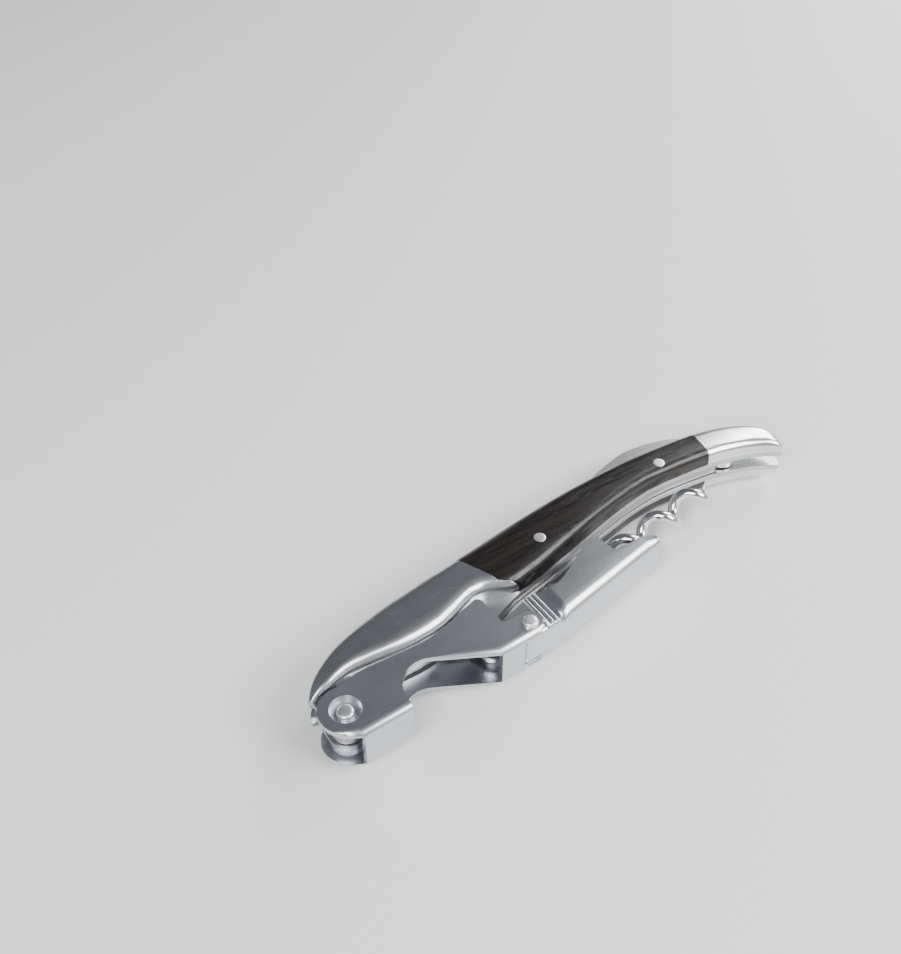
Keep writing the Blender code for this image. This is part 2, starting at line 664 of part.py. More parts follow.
def build_worm(parts, cutters, frame, joint):
    """One wire: an eye on the pivot pin, a straight shank and a right-handed helix with a point."""
    shape = bpy.data.curves.new("worm_wire", "CURVE")
    shape.dimensions = "3D"
    shape.bevel_depth = MM
    shape.bevel_resolution = 2
    shape.use_fill_caps = True
    spline = shape.splines.new("POLY")
    points = worm_points()
    spline.points.add(len(points) - 1)
    for point, (along, y, z, wire) in zip(spline.points, points):
        point.co = (along * MM, y * MM, z * MM, 1.0)
        point.radius = wire
    wire = curve_to_mesh(bpy.data.objects.new("worm_wire", shape), cutters)
    eye = turned("worm", drum(WORM_EYE_RADIUS, WORM_EYE_HALF, -WORM_EYE_HALF), WORM_PIVOT, parts,
                 24)
    bore = turned("worm_bore", drum(WORM_PIN_RADIUS + GAP, 4.0, -4.0), WORM_PIVOT, cutters)
    wire.location = (WORM_PIVOT[0] * MM, WORM_PIVOT[1] * MM, 0.0)
    wire.rotation_euler.z = WORM_ANGLE
    wire.parent = frame
    bore.parent = frame
    add_boolean(eye, wire, "UNION")
    add_boolean(eye, bore)
    hang(eye, "bright_steel", joint)


def knife_outline():
    """Side view of the folded knife: tang, straight neck, serrated edge and humped spine."""
    tang = arc(KNIFE_PIVOT, TANG_RADIUS, -160.0, 80.0, 14)
    spine = smooth_line(BLADE_SPINE, 2)
    edge = []
    run = [tip - heel for heel, tip in zip(BLADE_EDGE_HEEL, BLADE_EDGE_TIP)]
    for index in range(SERRATION_COUNT, 0, -1):
        for part, depth in ((0.0, 0.0), (0.5, SERRATION_DEPTH)):
            share = (index - part) / SERRATION_COUNT
            edge.append((BLADE_EDGE_HEEL[0] + run[0] * share,
                         BLADE_EDGE_HEEL[1] + run[1] * share + depth))
    return [*tang, *spine, (83.5, 14.6), *edge, BLADE_EDGE_HEEL, (117.0, 12.2), (121.0, 10.3)]


def build_knife(parts, joint):
    """The foil knife, folded between the liners with its spine standing out of the back."""
    bore = ring(KNIFE_PIVOT, HIDDEN_PIN_RADIUS + GAP)
    blade = plate("foil_knife", [knife_outline(), bore], -BLADE_HALF, BLADE_HALF, parts)
    hang(blade, "blade_steel", joint)


# ---------------------------------------------------------------- the whole tool

def build():
    """The folded corkscrew, resting on the flat of its lower wood scale."""
    clear_scene()
    parts = make_collection("waiters_corkscrew")
    cutters = make_collection("cutters")
    origin = (-0.5 * (BOX_MIN[0] + BOX_MAX[0]), -0.5 * (BOX_MIN[1] + BOX_MAX[1]), COVER_OUTSIDE)
    frame = add_joint("tool_frame", origin, None)
    rest = add_joint("handle_axis", (0.0, 0.0, 0.0), frame)
    lever = add_joint("lever_axis", (*LEVER_PIVOT, 0.0), frame)
    knife = add_joint("knife_axis", (*KNIFE_PIVOT, 0.0), frame)
    worm = add_joint("worm_axis", (*WORM_PIVOT, 0.0), frame)
    hinge = add_joint("stage_axis", (*STAGE_HINGE, 0.0), frame)
    build_covers(parts, cutters, rest)
    build_frame_plates(parts, rest)
    build_pins(parts, rest)
    build_first_stage(parts, cutters, frame, lever)
    build_second_stage(parts, cutters, frame, hinge)
    build_worm(parts, cutters, frame, worm)
    build_knife(parts, knife)
    bpy.context.view_layer.update()


build()
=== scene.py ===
import math

import bmesh
import bpy
from mathutils import Matrix, Vector


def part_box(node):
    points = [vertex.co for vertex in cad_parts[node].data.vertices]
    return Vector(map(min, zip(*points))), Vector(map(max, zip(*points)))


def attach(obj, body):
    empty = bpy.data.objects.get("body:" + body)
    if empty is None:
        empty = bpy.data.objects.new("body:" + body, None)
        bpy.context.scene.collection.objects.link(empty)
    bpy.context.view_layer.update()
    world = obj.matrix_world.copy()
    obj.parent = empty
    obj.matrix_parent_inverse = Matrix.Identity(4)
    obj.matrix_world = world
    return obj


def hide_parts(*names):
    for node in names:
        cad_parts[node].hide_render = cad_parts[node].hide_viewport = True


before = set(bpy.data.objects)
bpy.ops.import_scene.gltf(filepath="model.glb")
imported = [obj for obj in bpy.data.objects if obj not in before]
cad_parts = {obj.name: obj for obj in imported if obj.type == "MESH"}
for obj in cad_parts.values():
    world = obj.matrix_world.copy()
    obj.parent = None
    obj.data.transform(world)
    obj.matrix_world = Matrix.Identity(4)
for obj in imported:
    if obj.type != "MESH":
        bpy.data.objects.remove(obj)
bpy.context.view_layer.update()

# ------------------------------------------------------------------ camera, floor and light
# The camera looks down on the folded tool from in front of its nose, as someone about to pick
# it up off a table would see it. A pale floor, three soft boxes and a sky that fades towards
# the horizon stand in for a studio.

camera = bpy.data.objects.new("camera", bpy.data.cameras.new("camera"))
bpy.context.scene.collection.objects.link(camera)
camera.location = (-0.12716, -0.14138, 0.21797)
camera.rotation_euler = (math.radians(45.957), math.radians(0.256), math.radians(-34.79))
camera.data.lens = 45.287
camera.data.sensor_width = 36.0
camera.data.clip_start = 0.01
bpy.context.scene.camera = camera

bpy.ops.mesh.primitive_circle_add(vertices=96, radius=2.5, fill_type="NGON", location=(0, 0, 0))
floor = bpy.context.object
floor.name = "studio_floor"
floor_finish = bpy.data.materials.new("pale_floor")
floor_finish.use_nodes = True
floor_shader = floor_finish.node_tree.nodes["Principled BSDF"]
floor_shader.inputs["Base Color"].default_value = (0.88, 0.88, 0.87, 1.0)
floor_shader.inputs["Roughness"].default_value = 0.85
floor.data.materials.append(floor_finish)


def soft_box(name, place, aim, width, height, watts, tint):
    """A rectangular area light at a place, turned to face a point."""
    light = bpy.data.lights.new(name, "AREA")
    light.shape = "RECTANGLE"
    light.size = width
    light.size_y = height
    light.energy = watts
    light.color = tint
    box = bpy.data.objects.new(name, light)
    box.location = place
    box.rotation_euler = (Vector(aim) - Vector(place)).to_track_quat("-Z", "Y").to_euler()
    bpy.context.scene.collection.objects.link(box)


def wire(tree, out_node, out_socket, in_node, in_socket):
    """Link one node's output to another's input, each given by its name or its number."""
    tree.links.new(out_node.outputs[out_socket], in_node.inputs[in_socket])


soft_box("front_right_box", place=(0.315, -0.41, 0.47), aim=(0, 0, 0), width=0.46, height=0.36,
         watts=5.0, tint=(1.0, 0.995, 0.98))
soft_box("tail_side_box", place=(0.52, 0.185, 0.32), aim=(0.04, 0, 0), width=0.22, height=0.30,
         watts=2.4, tint=(1.0, 1.0, 1.0))
soft_box("front_left_box", place=(-0.55, -0.35, 0.62), aim=(0, 0, 0), width=0.5, height=0.5,
         watts=7.5, tint=(0.97, 0.985, 1.0))

# The numbers of a Mix node's two colours and of its result.
FIRST_COLOUR, SECOND_COLOUR, MIXED = 6, 7, 2

studio = bpy.data.worlds.new("studio")
studio.use_nodes = True
bpy.context.scene.world = studio
around = studio.node_tree
sky = around.nodes["Background"]
direction = around.nodes.new("ShaderNodeTexCoord")
toward = around.nodes.new("ShaderNodeVectorMath")
toward.operation = "DOT_PRODUCT"
toward.inputs[1].default_value = (0.80, -0.60, 0.0)
fade = around.nodes.new("ShaderNodeValToRGB")
fade.color_ramp.elements[0].position = 0.0
fade.color_ramp.elements[0].color = (0.15, 0.155, 0.17, 1.0)
fade.color_ramp.elements[1].position = 0.6
fade.color_ramp.elements[1].color = (0.62, 0.63, 0.64, 1.0)
split = around.nodes.new("ShaderNodeSeparateXYZ")
above = around.nodes.new("ShaderNodeMapRange")
above.inputs["From Min"].default_value = 0.0
above.inputs["From Max"].default_value = 0.36
haze = around.nodes.new("ShaderNodeMix")
haze.data_type = "RGBA"
haze.inputs[FIRST_COLOUR].default_value = (0.58, 0.585, 0.59, 1.0)
wire(around, direction, "Generated", toward, 0)
wire(around, toward, "Value", fade, "Fac")
wire(around, direction, "Generated", split, "Vector")
wire(around, split, "Z", above, "Value")
wire(around, above, 0, haze, 0)
wire(around, fade, "Color", haze, SECOND_COLOUR)
wire(around, haze, MIXED, sky, "Color")
sky.inputs["Strength"].default_value = 1.0

# ------------------------------------------------------------------ liners
# Two stamped steel liners carry everything: each is one flat plate with a tongue for the
# lever under the nose and a small spur for the worm. They are shaped from the frame's own
# plates, with their sheared edges rounded and a grain rolled in along the sheet.

LEVER_DROP = 0.0144
NOSE_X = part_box("liner_upper")[0].x
HEEL_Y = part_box("lever_first_stage")[0].y + LEVER_DROP
MIDDLE_Z = 0.5 * (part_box("wood_scale_upper")[1].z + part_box("wood_scale_lower")[0].z)

WELD_REACH = 0.000004
FLAT_WITHIN = 0.6


def at(x, y, z=0.0):
    """The frame's point for a place in millimetres from the nose tip and the middle plane."""
    return Vector((NOSE_X + 0.001 * x, HEEL_Y + 0.001 * y, MIDDLE_Z + 0.001 * z))


def solid_from_node(node, name, body):
    """A welded copy of a frame node that stands for it and rides on its body."""
    piece = bpy.data.objects.new(name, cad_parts[node].data.copy())
    piece.data.name = name
    bpy.context.scene.collection.objects.link(piece)
    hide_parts(node)
    bpy.ops.object.select_all(action="DESELECT")
    bpy.context.view_layer.objects.active = piece
    piece.select_set(True)
    bpy.ops.object.mode_set(mode="EDIT")
    bpy.ops.mesh.select_all(action="SELECT")
    bpy.ops.mesh.customdata_custom_splitnormals_clear()
    bpy.ops.mesh.remove_doubles(threshold=WELD_REACH)
    bpy.ops.mesh.dissolve_limited(angle_limit=math.radians(FLAT_WITHIN))
    bpy.ops.mesh.select_all(action="DESELECT")
    bpy.ops.object.mode_set(mode="OBJECT")
    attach(piece, body)
    return piece


def soften_edges(piece, width_mm, segments, sharp_above=32.0, smooth_below=34.0):
    """Round the sharp edges of a finished shape, then shade its round faces smooth."""
    bpy.ops.object.select_all(action="DESELECT")
    bpy.context.view_layer.objects.active = piece
    piece.select_set(True)
    edge = piece.modifiers.new("edge", "BEVEL")
    edge.width = 0.001 * width_mm
    edge.segments = segments
    edge.limit_method = "ANGLE"
    edge.angle_limit = math.radians(sharp_above)
    edge.use_clamp_overlap = True
    bpy.ops.object.modifier_apply(modifier=edge.name)
    bpy.ops.object.shade_smooth_by_angle(angle=math.radians(smooth_below))
    flats = piece.modifiers.new("flats", "WEIGHTED_NORMAL")
    flats.keep_sharp = True
    flats.weight = 60
    bpy.ops.object.modifier_apply(modifier=flats.name)


def steel(name, colour, rough, grain, grain_depth, variation):
    """Bare steel with a drawn grain, soft cloudy patches and a few fine handling scratches.

    `grain` is the stretch of the grain pattern along X, Y and Z, per metre.
    """
    finish = bpy.data.materials.new(name)
    finish.use_nodes = True
    tree = finish.node_tree
    shader = tree.nodes["Principled BSDF"]
    shader.inputs["Metallic"].default_value = 1.0
    place = tree.nodes.new("ShaderNodeTexCoord")
    lie = tree.nodes.new("ShaderNodeMapping")
    lie.inputs["Scale"].default_value = grain
    lines = tree.nodes.new("ShaderNodeTexNoise")
    lines.inputs["Scale"].default_value = 1.0
    lines.inputs["Detail"].default_value = 3.0
    lines.inputs["Roughness"].default_value = 0.5
    clouds = tree.nodes.new("ShaderNodeTexNoise")
    clouds.inputs["Scale"].default_value = 85.0
    clouds.inputs["Detail"].default_value = 5.0
    hair_lie = tree.nodes.new("ShaderNodeMapping")
    hair_lie.inputs["Rotation"].default_value = (0.0, 0.0, 0.5)
    hair_lie.inputs["Scale"].default_value = (70.0, 6500.0, 900.0)
    hairs = tree.nodes.new("ShaderNodeTexNoise")
    hairs.inputs["Scale"].default_value = 1.0
    hairs.inputs["Detail"].default_value = 1.0
    hair_cut = tree.nodes.new("ShaderNodeMapRange")
    hair_cut.inputs["From Min"].default_value = 0.66
    hair_cut.inputs["From Max"].default_value = 0.90
    blend = tree.nodes.new("ShaderNodeMath")
    blend.operation = "MULTIPLY_ADD"
    blend.inputs[1].default_value = 0.5
    half = tree.nodes.new("ShaderNodeMath")
    half.operation = "MULTIPLY"
    half.inputs[1].default_value = 0.5
    roughness = tree.nodes.new("ShaderNodeMapRange")
    roughness.inputs["From Min"].default_value = 0.35
    roughness.inputs["From Max"].default_value = 0.65
    roughness.inputs["To Min"].default_value = rough - variation
    roughness.inputs["To Max"].default_value = rough + variation
    worn = tree.nodes.new("ShaderNodeMath")
    worn.operation = "MULTIPLY_ADD"
    worn.inputs[1].default_value = 0.01
    shade = tree.nodes.new("ShaderNodeValToRGB")
    shade.color_ramp.elements[0].position = 0.3
    shade.color_ramp.elements[0].color = (*[0.94 * value for value in colour], 1.0)
    shade.color_ramp.elements[1].position = 0.7
    shade.color_ramp.elements[1].color = (*[min(1.0, 1.06 * value) for value in colour], 1.0)
    bump = tree.nodes.new("ShaderNodeBump")
    bump.inputs["Strength"].default_value = 0.10
    bump.inputs["Distance"].default_value = grain_depth
    wire(tree, place, "Object", lie, "Vector")
    wire(tree, place, "Object", clouds, "Vector")
    wire(tree, place, "Object", hair_lie, "Vector")
    wire(tree, lie, "Vector", lines, "Vector")
    wire(tree, hair_lie, "Vector", hairs, "Vector")
    wire(tree, hairs, "Fac", hair_cut, "Value")
    wire(tree, clouds, "Fac", half, 0)
    wire(tree, lines, "Fac", blend, 0)
    wire(tree, half, 0, blend, 2)
    wire(tree, blend, 0, roughness, "Value")
    wire(tree, hair_cut, 0, worn, 0)
    wire(tree, roughness, 0, worn, 2)
    wire(tree, worn, 0, shader, "Roughness")
    wire(tree, blend, 0, shade, "Fac")
    wire(tree, shade, "Color", shader, "Base Color")
    wire(tree, lines, "Fac", bump, "Height")
    wire(tree, bump, "Normal", shader, "Normal")
    return finish


liner_steel = steel("liner_steel", colour=(0.58, 0.59, 0.60), rough=0.30,
                    grain=(150.0, 3400.0, 3400.0), grain_depth=0.000004, variation=0.03)
for side in ("upper", "lower"):
    liner = solid_from_node(f"liner_{side}", f"liner_plate_{side}", "handle")
    soften_edges(liner, width_mm=0.12, segments=2)
    liner.data.materials.clear()
    liner.data.materials.append(liner_steel)

# ------------------------------------------------------------------ nose spacer and back spring
# Between the liners sit a steel spacer at the nose and the long spring bar that presses on
# the heel of the foil knife. Both are cut from thicker flat stock and left a little duller.

core_steel = steel("core_steel", colour=(0.42, 0.42, 0.43), rough=0.38,
                   grain=(200.0, 2800.0, 2800.0), grain_depth=0.000005, variation=0.04)
for node, name in (("nose_spacer", "nose_spacer_block"), ("back_spring", "back_spring_bar")):
    core = solid_from_node(node, name, "handle")
    soften_edges(core, width_mm=0.12, segments=2)
    core.data.materials.clear()
    core.data.materials.append(core_steel)

# ------------------------------------------------------------------ front bolsters
# Cast steel bolsters, crowned and hand-polished to a soft satin. They taper to the nose and
# run back in a beak under the wood. The floor of each is lapped down onto its liner.

COVER_FLOOR = 3.1
COVER_LAP = 0.26
FLOOR_REACH = 0.01
JOINT_LAP = 0.10
SEAM_REACH = 0.22
BOLSTER_END = ((44.6, 16.0), (50.4, 2.6))


def choose(piece, wanted):
    """Go into edit mode with only the points chosen whose place is wanted."""
    bpy.ops.object.select_all(action="DESELECT")
    bpy.context.view_layer.objects.active = piece
    piece.select_set(True)
    bpy.ops.object.mode_set(mode="EDIT")
    bpy.ops.mesh.select_mode(type="VERT")
    work = bmesh.from_edit_mesh(piece.data)
    for vertex in work.verts:
        vertex.select = wanted(vertex.co)
    work.select_flush_mode()
    bmesh.update_edit_mesh(piece.data)


def seat_on_liner(piece, side):
    """Lower the flat floor of a cover until it lies on the liner beneath it."""
    up = 1.0 if side == "upper" else -1.0
    floor_z = MIDDLE_Z + up * 0.001 * COVER_FLOOR
    choose(piece, lambda place: abs(place.z - floor_z) < 0.001 * FLOOR_REACH)
    bpy.ops.transform.translate(value=(0.0, 0.0, -up * 0.001 * COVER_LAP))
    bpy.ops.object.mode_set(mode="OBJECT")


def close_seam(piece, joint, push):
    """Slide the end face that lies on a joint line, given in millimetres, along X."""
    first, last = at(*joint[0]), at(*joint[1])
    run = (last - first).normalized()
    choose(piece, lambda place: abs((place.x - first.x) * run.y
                                    - (place.y - first.y) * run.x) < 0.001 * SEAM_REACH)
    bpy.ops.transform.translate(value=(0.001 * push, 0.0, 0.0))
    bpy.ops.object.mode_set(mode="OBJECT")


bolster_steel = steel("bolster_steel", colour=(0.58, 0.59, 0.61), rough=0.25,
                      grain=(200.0, 3800.0, 2500.0), grain_depth=0.000003, variation=0.03)
for side in ("upper", "lower"):
    bolster = solid_from_node(f"front_bolster_{side}", f"front_bolster_shell_{side}", "handle")
    seat_on_liner(bolster, side)
    close_seam(bolster, BOLSTER_END, JOINT_LAP)
    soften_edges(bolster, width_mm=0.14, segments=2, sharp_above=50.0)
    bolster.data.materials.clear()
    bolster.data.materials.append(bolster_steel)

# ------------------------------------------------------------------ tail bolsters
# Short steel caps that turn the handle down at the tail. Their steel is coloured much lighter
# than the front ones: a painted highlight for the grazing light that falls on the tail.

TAIL_END = ((120.15, 16.5), (118.35, 4.0))

tail_steel_painted_highlight = steel("tail_steel_painted_highlight", colour=(0.82, 0.82, 0.82), rough=0.22,
                   grain=(240.0, 3800.0, 2500.0), grain_depth=0.000003, variation=0.025)
for side in ("upper", "lower"):
    tail = solid_from_node(f"tail_bolster_{side}", f"tail_bolster_shell_{side}", "handle")
    seat_on_liner(tail, side)
    close_seam(tail, TAIL_END, -JOINT_LAP)
    soften_edges(tail, width_mm=0.14, segments=2, sharp_above=50.0)
    tail.data.materials.clear()
    tail.data.materials.append(tail_steel_painted_highlight)

# ------------------------------------------------------------------ wood scales
# Near-black wood, long-grained and oiled to a low sheen, glued and pinned over the liners.
# The pin holes are drawn in until they grip the pins.

WOOD_FRONT_END = ((44.75, 16.0), (50.55, 2.6))
WOOD_TAIL_END = ((119.85, 16.5), (118.05, 4.0))
SCALE_PINS = {"front": (65.7, 7.1), "rear": (105.6, 10.7)}
PIN_RADIUS = 1.45
HOLE_PLAY = 0.3
HOLE_GRIP = 0.03
GRAIN_TURN = -0.13


def dark_wood(name):
    """Near-black long-grained wood: brown streaks, open pores and a thin oil sheen."""
    finish = bpy.data.materials.new(name)
    finish.use_nodes = True
    tree = finish.node_tree
    shader = tree.nodes["Principled BSDF"]
    shader.inputs["Specular IOR Level"].default_value = 0.42
    shader.inputs["Coat Weight"].default_value = 0.30
    shader.inputs["Coat Roughness"].default_value = 0.20
    place = tree.nodes.new("ShaderNodeTexCoord")
    sweep = tree.nodes.new("ShaderNodeTexNoise")
    sweep.inputs["Scale"].default_value = 22.0
    sweep.inputs["Detail"].default_value = 2.0
    drift = tree.nodes.new("ShaderNodeVectorMath")
    drift.operation = "MULTIPLY_ADD"
    drift.inputs[1].default_value = (0.0, 0.006, 0.006)
    lie = tree.nodes.new("ShaderNodeMapping")
    lie.inputs["Rotation"].default_value = (0.0, 0.0, GRAIN_TURN)
    lie.inputs["Scale"].default_value = (26.0, 620.0, 620.0)
    streaks = tree.nodes.new("ShaderNodeTexNoise")
    streaks.inputs["Scale"].default_value = 1.0
    streaks.inputs["Detail"].default_value = 7.0
    streaks.inputs["Roughness"].default_value = 0.62
    pore_lie = tree.nodes.new("ShaderNodeMapping")
    pore_lie.inputs["Rotation"].default_value = (0.0, 0.0, GRAIN_TURN)
    pore_lie.inputs["Scale"].default_value = (190.0, 3600.0, 3600.0)
    pores = tree.nodes.new("ShaderNodeTexNoise")
    pores.inputs["Scale"].default_value = 1.0
    pores.inputs["Detail"].default_value = 3.0
    pore_cut = tree.nodes.new("ShaderNodeMapRange")
    pore_cut.inputs["From Min"].default_value = 0.58
    pore_cut.inputs["From Max"].default_value = 0.68
    shade = tree.nodes.new("ShaderNodeValToRGB")
    shade.color_ramp.elements[0].position = 0.30
    shade.color_ramp.elements[0].color = (0.0030, 0.0022, 0.0019, 1.0)
    shade.color_ramp.elements[1].position = 0.78
    shade.color_ramp.elements[1].color = (0.022, 0.015, 0.011, 1.0)
    brown = shade.color_ramp.elements.new(0.55)
    brown.color = (0.0075, 0.0052, 0.0041, 1.0)
    darken = tree.nodes.new("ShaderNodeMix")
    darken.data_type = "RGBA"
    darken.blend_type = "MULTIPLY"
    darken.inputs[SECOND_COLOUR].default_value = (0.35, 0.33, 0.32, 1.0)
    gloss = tree.nodes.new("ShaderNodeMapRange")
    gloss.inputs["From Min"].default_value = 0.30
    gloss.inputs["From Max"].default_value = 0.70
    gloss.inputs["To Min"].default_value = 0.24
    gloss.inputs["To Max"].default_value = 0.36
    dull = tree.nodes.new("ShaderNodeMath")
    dull.operation = "MULTIPLY_ADD"
    dull.inputs[1].default_value = 0.18
    height = tree.nodes.new("ShaderNodeMath")
    height.operation = "MULTIPLY_ADD"
    height.inputs[1].default_value = -1.4
    bump = tree.nodes.new("ShaderNodeBump")
    bump.inputs["Strength"].default_value = 0.45
    bump.inputs["Distance"].default_value = 0.00003
    wire(tree, place, "Object", sweep, "Vector")
    wire(tree, sweep, "Color", drift, 0)
    wire(tree, place, "Object", drift, 2)
    wire(tree, drift, 0, lie, "Vector")
    wire(tree, drift, 0, pore_lie, "Vector")
    wire(tree, lie, "Vector", streaks, "Vector")
    wire(tree, pore_lie, "Vector", pores, "Vector")
    wire(tree, pores, "Fac", pore_cut, "Value")
    wire(tree, streaks, "Fac", shade, "Fac")
    wire(tree, pore_cut, 0, darken, 0)
    wire(tree, shade, "Color", darken, FIRST_COLOUR)
    wire(tree, darken, MIXED, shader, "Base Color")
    wire(tree, streaks, "Fac", gloss, "Value")
    wire(tree, pore_cut, 0, dull, 0)
    wire(tree, gloss, 0, dull, 2)
    wire(tree, dull, 0, shader, "Roughness")
    wire(tree, pore_cut, 0, height, 0)
    wire(tree, streaks, "Fac", height, 2)
    wire(tree, height, 0, bump, "Height")
    wire(tree, bump, "Normal", shader, "Normal")
    return finish


def draw_in_hole(piece, centre, old_radius, new_radius):
    """Bring the wall of a drilled hole in to a smaller radius."""
    middle = at(*centre)
    reach = 0.001 * (old_radius + 0.05)
    choose(piece, lambda place: math.hypot(place.x - middle.x, place.y - middle.y) < reach)
    share = new_radius / old_radius
    bpy.ops.transform.resize(value=(share, share, 1.0), center_override=middle)
    bpy.ops.object.mode_set(mode="OBJECT")


scale_wood = dark_wood("oiled_dark_wood")
for side in ("upper", "lower"):
    scale = solid_from_node(f"wood_scale_{side}", f"wood_scale_slab_{side}", "handle")
    seat_on_liner(scale, side)
    close_seam(scale, WOOD_FRONT_END, -JOINT_LAP)
    close_seam(scale, WOOD_TAIL_END, JOINT_LAP)
    for centre in SCALE_PINS.values():
        draw_in_hole(scale, centre, PIN_RADIUS + HOLE_PLAY, PIN_RADIUS + HOLE_GRIP)
    soften_edges(scale, width_mm=0.12, segments=2, sharp_above=50.0)
    scale.data.materials.clear()
    scale.data.materials.append(scale_wood)

# ------------------------------------------------------------------ pins
# Bright steel pins hold wood, bolsters and liners together. Those in the wood come through
# to both faces, peened flush and polished; those of the bolsters and knife stay inside.

PIN_HALF = {"front": 7.78, "rear": 7.05}
PEENED_STEPS = ((0.7, 0.93), (0.25, 0.80), (0.05, 0.5))
ROUND_BELOW = 50.0

pin_steel = steel("pin_steel", colour=(0.95, 0.95, 0.94), rough=0.38,
                  grain=(1500.0, 1500.0, 400.0), grain_depth=0.000002, variation=0.03)


def select_caps(piece, up):
    """Select only the end face of an upright piece that looks up (1) or down (-1)."""
    work = bmesh.from_edit_mesh(piece.data)
    for element in (*work.verts, *work.edges, *work.faces):
        element.select = False
    ends = [face for face in work.faces if face.normal.z * up > 0.99]
    top = max(ends, key=lambda face: face.calc_center_median().z * up)
    top.select_set(True)
    bmesh.update_edit_mesh(piece.data)


def domed_pin(name, centre, radius, half, dome, node, body):
    """A round pin about a cross axis whose two ends are peened to a low dome."""
    bpy.ops.object.select_all(action="DESELECT")
    bpy.ops.mesh.primitive_cylinder_add(vertices=48, radius=0.001 * radius,
                                        depth=0.002 * (half - dome), location=at(*centre))
    pin = bpy.context.object
    pin.name = name
    bpy.ops.object.transform_apply(location=True, rotation=True, scale=True)
    bpy.ops.object.mode_set(mode="EDIT")
    for up in (1, -1):
        for rise, shrink in PEENED_STEPS:
            select_caps(pin, up)
            bpy.ops.mesh.extrude_region_move(
                TRANSFORM_OT_translate={"value": (0, 0, up * 0.001 * dome * rise)})
            bpy.ops.transform.resize(value=(shrink, shrink, 1.0))
    bpy.ops.object.mode_set(mode="OBJECT")
    bpy.ops.object.shade_smooth_by_angle(angle=math.radians(ROUND_BELOW))
    pin.data.materials.append(pin_steel)
    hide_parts(node)
    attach(pin, body)


for place, centre in SCALE_PINS.items():
    domed_pin(f"scale_pin_{place}_peened", centre, radius=PIN_RADIUS, half=PIN_HALF[place],
              dome=0.10, node=f"scale_pin_{place}", body="handle")
for node in ("bolster_pin_nose", "bolster_pin_heel", "knife_pivot_pin"):
    low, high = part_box(node)
    middle = 0.5 * (low + high)
    centre = ((middle.x - NOSE_X) * 1000.0, (middle.y - HEEL_Y) * 1000.0)
    domed_pin(f"{node}_turned", centre, radius=500.0 * (high.x - low.x),
              half=500.0 * (high.z - low.z), dome=0.2, node=node, body="handle")

# ------------------------------------------------------------------ worm and its pivot
# The worm is one length of hardened wire: a forged eye on its pin, a straight shank and an
# open right-handed helix ground to a point. It is polished bright, with faint draw marks.

WORM_PIVOT = (42.5, -6.8)
WORM_ANGLE = math.radians(6.5)
WIRE_RADIUS = 1.3
SHANK_START = 1.8
SHANK_STEP = 1.2
SHANK_POINTS = 10
HELIX_RADIUS = 2.7
HELIX_PITCH = 11.5
HELIX_START = 13.5
HELIX_RAMP = 5.0
WORM_LENGTH = 74.5
WORM_TAPER = 7.5
TIP_SHARE = 0.10
TIP_CURVE = 0.8
WORM_PHASE = math.radians(-126.0)
WORM_STEPS = 32
EYE_RADIUS = 3.0
EYE_THICKNESS = 2.4
BORE_RADIUS = 1.32
BORE_LENGTH = 6.0

worm_steel = steel("worm_steel", colour=(0.82, 0.82, 0.83), rough=0.13,
                   grain=(700.0, 900.0, 900.0), grain_depth=0.000002, variation=0.025)


def worm_line():
    """Centre line of the wire from eye to tip, in millimetres, with the wire's radius."""
    points = [(SHANK_START + SHANK_STEP * index, 0.0, 0.0, WIRE_RADIUS)
              for index in range(SHANK_POINTS)]
    step = HELIX_PITCH / WORM_STEPS
    for index in range(int((WORM_LENGTH - HELIX_START) / step) + 1):
        along = HELIX_START + index * step
        ramp = min(1.0, index * step / HELIX_RAMP)
        out = HELIX_RADIUS * ramp * ramp * (3 - 2 * ramp)
        turn = 2 * math.pi * (along - HELIX_START) / HELIX_PITCH + WORM_PHASE
        left = (WORM_LENGTH - along) / WORM_TAPER
        thinned = TIP_SHARE + (1.0 - TIP_SHARE) * max(0.0, left) ** TIP_CURVE
        radius = WIRE_RADIUS * min(1.0, thinned)
        points.append((along, out * math.cos(turn), out * math.sin(turn), radius))
    return points


line = bpy.data.curves.new("worm_wire", "CURVE")
line.dimensions = "3D"
line.bevel_depth = 0.001
line.bevel_resolution = 5
line.use_fill_caps = True
spline = line.splines.new("POLY")
turned_points = worm_line()
spline.points.add(len(turned_points) - 1)
lean = Matrix.Rotation(WORM_ANGLE, 3, "Z")
for point, (along, y, z, radius) in zip(spline.points, turned_points):
    spot = at(*WORM_PIVOT) + lean @ Vector((0.001 * along, 0.001 * y, 0.001 * z))
    point.co = (*spot, 1.0)
    point.radius = radius
worm = bpy.data.objects.new("worm_screw", line)
bpy.context.scene.collection.objects.link(worm)
bpy.ops.object.select_all(action="DESELECT")
bpy.context.view_layer.objects.active = worm
worm.select_set(True)
bpy.ops.object.convert(target="MESH")
worm = bpy.context.object
bpy.ops.object.mode_set(mode="EDIT")
bpy.ops.mesh.select_all(action="SELECT")
bpy.ops.mesh.remove_doubles(threshold=0.000001)
bpy.ops.mesh.normals_make_consistent(inside=False)
bpy.ops.object.mode_set(mode="OBJECT")

